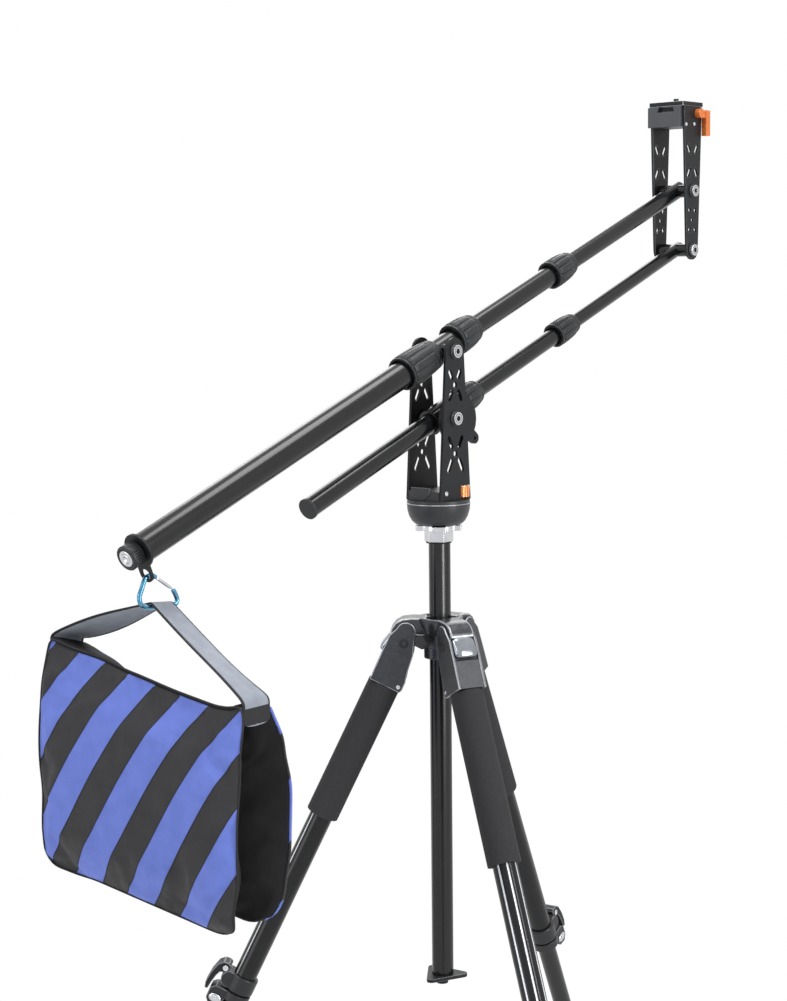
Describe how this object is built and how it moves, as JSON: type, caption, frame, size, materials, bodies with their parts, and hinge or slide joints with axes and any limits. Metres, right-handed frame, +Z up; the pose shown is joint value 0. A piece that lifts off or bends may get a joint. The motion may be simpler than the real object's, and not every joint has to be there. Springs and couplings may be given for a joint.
{
  "type": "camera jib crane",
  "caption": "Portable camera jib: twin telescopic arms on a panning fulcrum keep a camera bracket upright, on a tripod with a hanging counterweight bag.",
  "frame": {"origin": "bottom centre of the bounding box, on the floor under the feet", "axes": "+Z up, +X from the tail towards the camera end along the boom at rest, +Y to the far side, away from the bolt heads"},
  "size_m": [0.9238, 0.6402, 1.2569],
  "materials": {
    "black_tube": "satin black anodised",
    "leg_section": "satin black anodised, with a rubber foot",
    "black_plate": "fine matt black with lighter worn edges",
    "grip_plastic": "charcoal moulded plastic",
    "casting": "dark textured die casting",
    "bright_metal": "bright plated",
    "foam": "matt closed-cell foam",
    "orange_metal": "satin orange anodised",
    "blue_metal": "bright blue anodised",
    "webbing": "slate grey woven webbing",
    "striped_cloth": "woven cloth in blue and charcoal bands, filled"
  },
  "bodies": {
    "crown": {"crown": "casting"},
    "column_clamp": {"column_clamp_knob": "grip_plastic"},
    "column": {"column": "black_tube", "column_end_plate": "black_plate", "column_flange": "bright_metal", "bowl": "black_plate"},
    "head": {"pan_base": "black_plate", "fulcrum_plate_near": "black_plate", "fulcrum_plate_far": "black_plate", "pivot_bolt_upper": "bright_metal", "pivot_bolt_lower": "bright_metal", "brake_housing": "black_plate"},
    "pan_lock": {"pan_lock_wheel": "orange_metal"},
    "tilt_lock": {"tilt_lock_knob": "grip_plastic"},
    "boom": {"upper_sleeve": "black_tube"},
    "rear_tube": {"upper_rear_tube": "black_tube", "hook_plate": "black_plate"},
    "rear_collar": {"upper_rear_collar": "grip_plastic"},
    "tail_knob": {"tail_knob": "grip_plastic"},
    "front_collar": {"upper_front_collar": "grip_plastic"},
    "mid_tube": {"upper_mid_tube": "black_tube"},
    "mid_collar": {"upper_mid_collar": "grip_plastic"},
    "front_tube": {"upper_front_tube": "black_tube"},
    "lower_boom": {"lower_sleeve": "black_tube", "lower_rear_tube": "black_tube", "lower_end_cap": "grip_plastic"},
    "lower_front_collar": {"lower_front_collar": "grip_plastic"},
    "lower_mid": {"lower_mid_tube": "black_tube"},
    "lower_mid_collar": {"lower_mid_collar": "grip_plastic"},
    "lower_front": {"lower_front_tube": "black_tube"},
    "bracket": {"camera_plate_near": "black_plate", "camera_plate_far": "black_plate", "camera_bolt_upper": "bright_metal", "camera_bolt_lower": "bright_metal", "camera_deck": "black_plate"},
    "release_plate": {"quick_release_plate": "black_plate"},
    "release_lever": {"quick_release_lever": "orange_metal"},
    "carabiner": {"carabiner": "blue_metal"},
    "gate": {"carabiner_gate": "bright_metal"},
    "bag": {"strap": "webbing", "bag": "striped_cloth"},
    "leg_1": {"leg_shoulder_1": "casting", "leg_upper_tube_1": "black_tube", "leg_grip_1": "foam"},
    "leg_lower_1": {"leg_lower_tube_1": "leg_section"},
    "leg_lock_1": {"leg_lock_lever_1": "grip_plastic"},
    "leg_tab_1": {"leg_angle_tab_1": "bright_metal"},
    "leg_2": {"leg_shoulder_2": "casting", "leg_upper_tube_2": "black_tube", "leg_grip_2": "foam"},
    "leg_lower_2": {"leg_lower_tube_2": "leg_section"},
    "leg_lock_2": {"leg_lock_lever_2": "grip_plastic"},
    "leg_tab_2": {"leg_angle_tab_2": "bright_metal"},
    "leg_3": {"leg_shoulder_3": "casting", "leg_upper_tube_3": "black_tube", "leg_grip_3": "foam"},
    "leg_lower_3": {"leg_lower_tube_3": "leg_section"},
    "leg_lock_3": {"leg_lock_lever_3": "grip_plastic"},
    "leg_tab_3": {"leg_angle_tab_3": "bright_metal"}
  },
  "joints": [
    {"name": "column_clamp_turn", "type": "hinge", "parent": "crown", "child": "column_clamp", "pos_m": [-0.00348, 0.02652, 0.66669], "axis": [-0.989, -0.1478, 0], "range_deg": [-180, 180]},
    {"name": "column_lift", "type": "slide", "parent": "crown", "child": "column", "axis": [0, 0, 1], "range_m": [-0.075, 0.33]},
    {"name": "pan", "type": "hinge", "parent": "column", "child": "head", "pos_m": [-0.00348, 0.02652, 0.81069], "axis": [0, 0, 1], "continuous": true},
    {"name": "pan_lock_turn", "type": "hinge", "parent": "head", "child": "pan_lock", "pos_m": [0.01202, 0.00752, 0.82269], "axis": [0, 0, 1], "range_deg": [-180, 180]},
    {"name": "tilt_lock_turn", "type": "hinge", "parent": "head", "child": "tilt_lock", "pos_m": [-0.00348, 0.05352, 0.97069], "axis": [0, -1, 0], "range_deg": [-180, 180]},
    {"name": "boom_tilt", "type": "hinge", "parent": "head", "child": "boom", "pos_m": [-0.00348, 0.02652, 0.97069], "axis": [0, -1, 0], "range_deg": [-67, 26]},
    {"name": "lower_tilt", "type": "hinge", "parent": "head", "child": "lower_boom", "pos_m": [-0.00348, 0.02652, 0.90069], "axis": [0, -1, 0], "range_deg": [-67, 26]},
    {"name": "rear_slide", "type": "slide", "parent": "boom", "child": "rear_tube", "axis": [-0.9278, 0, -0.373], "range_m": [0, 0.12]},
    {"name": "rear_collar_twist", "type": "hinge", "parent": "rear_tube", "child": "rear_collar", "pos_m": [-0.03595, 0.02652, 0.95764], "axis": [0.9278, 0, 0.373], "range_deg": [-60, 60]},
    {"name": "tail_knob_turn", "type": "hinge", "parent": "rear_tube", "child": "tail_knob", "pos_m": [-0.42564, 0.02652, 0.80098], "axis": [0.9278, 0, 0.373], "range_deg": [-180, 180]},
    {"name": "front_collar_twist", "type": "hinge", "parent": "boom", "child": "front_collar", "pos_m": [0.03828, 0.02652, 0.98748], "axis": [0.9278, 0, 0.373], "range_deg": [-60, 60]},
    {"name": "mid_slide", "type": "slide", "parent": "boom", "child": "mid_tube", "axis": [0.9278, 0, 0.373], "range_m": [-0.12, 0.06]},
    {"name": "mid_collar_twist", "type": "hinge", "parent": "mid_tube", "child": "mid_collar", "pos_m": [0.20622, 0.02652, 1.05499], "axis": [0.9278, 0, 0.373], "range_deg": [-60, 60]},
    {"name": "front_slide", "type": "slide", "parent": "mid_tube", "child": "front_tube", "axis": [0.9278, 0, 0.373], "range_m": [-0.19, 0.02]},
    {"name": "lower_front_collar_twist", "type": "hinge", "parent": "lower_boom", "child": "lower_front_collar", "pos_m": [0.04292, 0.02652, 0.91934], "axis": [0.9278, 0, 0.373], "range_deg": [-60, 60]},
    {"name": "lower_mid_slide", "type": "slide", "parent": "lower_boom", "child": "lower_mid", "axis": [0.9278, 0, 0.373], "range_m": [-0.12, 0.06]},
    {"name": "lower_mid_collar_twist", "type": "hinge", "parent": "lower_mid", "child": "lower_mid_collar", "pos_m": [0.21364, 0.02652, 0.98797], "axis": [0.9278, 0, 0.373], "range_deg": [-60, 60]},
    {"name": "lower_front_slide", "type": "slide", "parent": "lower_mid", "child": "lower_front", "axis": [0.9278, 0, 0.373], "range_m": [-0.19, 0.02]},
    {"name": "bracket_level", "type": "hinge", "parent": "front_tube", "child": "bracket", "pos_m": [0.43595, 0.02652, 1.14734], "axis": [0, -1, 0], "range_deg": [-26, 67]},
    {"name": "release_plate_slide", "type": "slide", "parent": "bracket", "child": "release_plate", "axis": [1, 0, 0], "range_m": [-0.03, 0.03]},
    {"name": "release_lever_turn", "type": "hinge", "parent": "bracket", "child": "release_lever", "pos_m": [0.44395, -0.00048, 1.23834], "axis": [0, -1, 0], "range_deg": [0, 90]},
    {"name": "carabiner_level", "type": "hinge", "parent": "rear_tube", "child": "carabiner", "pos_m": [-0.4071, 0.02652, 0.77082], "axis": [0, -1, 0], "range_deg": [-26, 67]},
    {"name": "gate_open", "type": "hinge", "parent": "carabiner", "child": "gate", "pos_m": [-0.38159, 0.02652, 0.76402], "axis": [0, -1, 0], "range_deg": [0, 25], "stiffness_Nm_per_rad": 0.03, "springref_deg": -17.19},
    {"name": "bag_sway", "type": "hinge", "parent": "carabiner", "child": "bag", "pos_m": [-0.39526, 0.02652, 0.74872], "axis": [0.9961, 0, -0.0879], "range_deg": [-22, 22]},
    {"name": "leg_fold_1", "type": "hinge", "parent": "crown", "child": "leg_1", "pos_m": [-0.01718, -0.00828, 0.66229], "axis": [0.9304, -0.3665, 0], "range_deg": [0, 24]},
    {"name": "leg_slide_1", "type": "slide", "parent": "leg_1", "child": "leg_lower_1", "axis": [-0.1589, -0.4035, -0.9011], "range_m": [-0.26, 0]},
    {"name": "leg_lock_flip_1", "type": "hinge", "parent": "leg_1", "child": "leg_lock_1", "pos_m": [-0.08962, -0.19216, 0.30351], "axis": [-0.9304, 0.3665, 0], "range_deg": [0, 90]},
    {"name": "leg_tab_pull_1", "type": "slide", "parent": "leg_1", "child": "leg_tab_1", "axis": [-0.3302, -0.8384, 0.4337], "range_m": [0, 0.004], "stiffness_N_per_m": 300, "springref_m": -0.004},
    {"name": "leg_fold_2", "type": "hinge", "parent": "crown", "child": "leg_2", "pos_m": [0.03351, 0.03205, 0.66229], "axis": [-0.1478, 0.989, 0], "range_deg": [0, 24]},
    {"name": "leg_slide_2", "type": "slide", "parent": "leg_2", "child": "leg_lower_2", "axis": [0.4289, 0.0641, -0.9011], "range_m": [-0.26, 0]},
    {"name": "leg_lock_flip_2", "type": "hinge", "parent": "leg_2", "child": "leg_lock_2", "pos_m": [0.22898, 0.06126, 0.30351], "axis": [0.1478, -0.989, 0], "range_deg": [0, 90]},
    {"name": "leg_tab_pull_2", "type": "slide", "parent": "leg_2", "child": "leg_tab_2", "axis": [0.8912, 0.1332, 0.4337], "range_m": [0, 0.004], "stiffness_N_per_m": 300, "springref_m": -0.004},
    {"name": "leg_fold_3", "type": "hinge", "parent": "crown", "child": "leg_3", "pos_m": [-0.02676, 0.05579, 0.66229], "axis": [-0.7826, -0.6225, 0], "range_deg": [0, 24]},
    {"name": "leg_slide_3", "type": "slide", "parent": "leg_3", "child": "leg_lower_3", "axis": [-0.27, 0.3394, -0.9011], "range_m": [-0.26, 0]},
    {"name": "leg_lock_flip_3", "type": "hinge", "parent": "leg_3", "child": "leg_lock_3", "pos_m": [-0.14979, 0.21047, 0.30351], "axis": [0.7826, 0.6225, 0], "range_deg": [0, 90]},
    {"name": "leg_tab_pull_3", "type": "slide", "parent": "leg_3", "child": "leg_tab_3", "axis": [-0.5609, 0.7052, 0.4337], "range_m": [0, 0.004], "stiffness_N_per_m": 300, "springref_m": -0.004}
  ],
  "couplings": [
    {"joint": "lower_tilt", "follows": "boom_tilt", "ratio": 1},
    {"joint": "bracket_level", "follows": "boom_tilt", "ratio": -1},
    {"joint": "carabiner_level", "follows": "boom_tilt", "ratio": -1},
    {"joint": "lower_mid_slide", "follows": "mid_slide", "ratio": 1},
    {"joint": "lower_front_slide", "follows": "front_slide", "ratio": 1}
  ]
}
